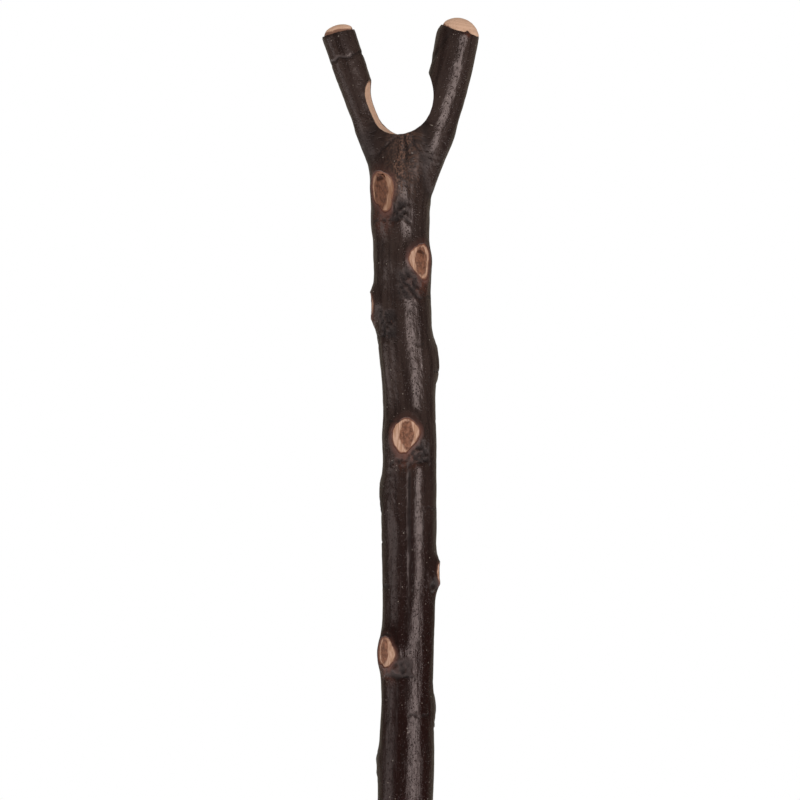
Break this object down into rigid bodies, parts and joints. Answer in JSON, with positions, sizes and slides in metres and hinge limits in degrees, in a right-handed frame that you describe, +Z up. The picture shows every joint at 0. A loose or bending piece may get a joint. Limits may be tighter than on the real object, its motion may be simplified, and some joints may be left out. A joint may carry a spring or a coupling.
{
  "type": "thumb stick",
  "caption": "Natural forked walking stick with its dark bark left on, a cut thumb notch between two rounded arms, trimmed knots and a brass ferrule with a steel wear disc.",
  "frame": {"origin": "middle of the flat underside of the wear disc, where the stick meets the ground", "axes": "+Z up along the shank, -Y towards the side that faces the camera, +X towards the thicker arm of the fork"},
  "size_m": [0.0742, 0.0323, 1.2201],
  "materials": {
    "bare_wood": "pale pinkish tan sapwood, cut and rounded, satin varnish",
    "varnished_bark": "near-black to red-brown smooth bark with fine raised pores, gloss varnish",
    "knot_wood": "darker brown end grain of trimmed side shoots, satin varnish",
    "brass": "drawn and polished, slightly dulled",
    "steel": "turned face, scuffed by use"
  },
  "bodies": {
    "root": {"bark": "varnished_bark", "ferrule_end_disc": "steel", "ferrule_pin_left": "brass", "ferrule_pin_right": "brass", "ferrule_tube": "brass", "knot_01": "knot_wood", "knot_02": "knot_wood", "knot_03": "knot_wood", "knot_04": "knot_wood", "knot_05": "knot_wood", "knot_06": "knot_wood", "knot_07": "knot_wood", "knot_08": "knot_wood", "knot_09": "knot_wood", "knot_10": "knot_wood", "knot_11": "knot_wood", "knot_12": "knot_wood", "knot_13": "knot_wood", "knot_14": "knot_wood", "knot_15": "knot_wood", "knot_16": "knot_wood", "knot_17": "knot_wood", "knot_18": "knot_wood", "knot_19": "knot_wood", "knot_20": "knot_wood", "knot_21": "knot_wood", "knot_22": "knot_wood", "knot_23": "knot_wood", "knot_24": "knot_wood", "wood_core": "bare_wood"}
  },
  "joints": []
}
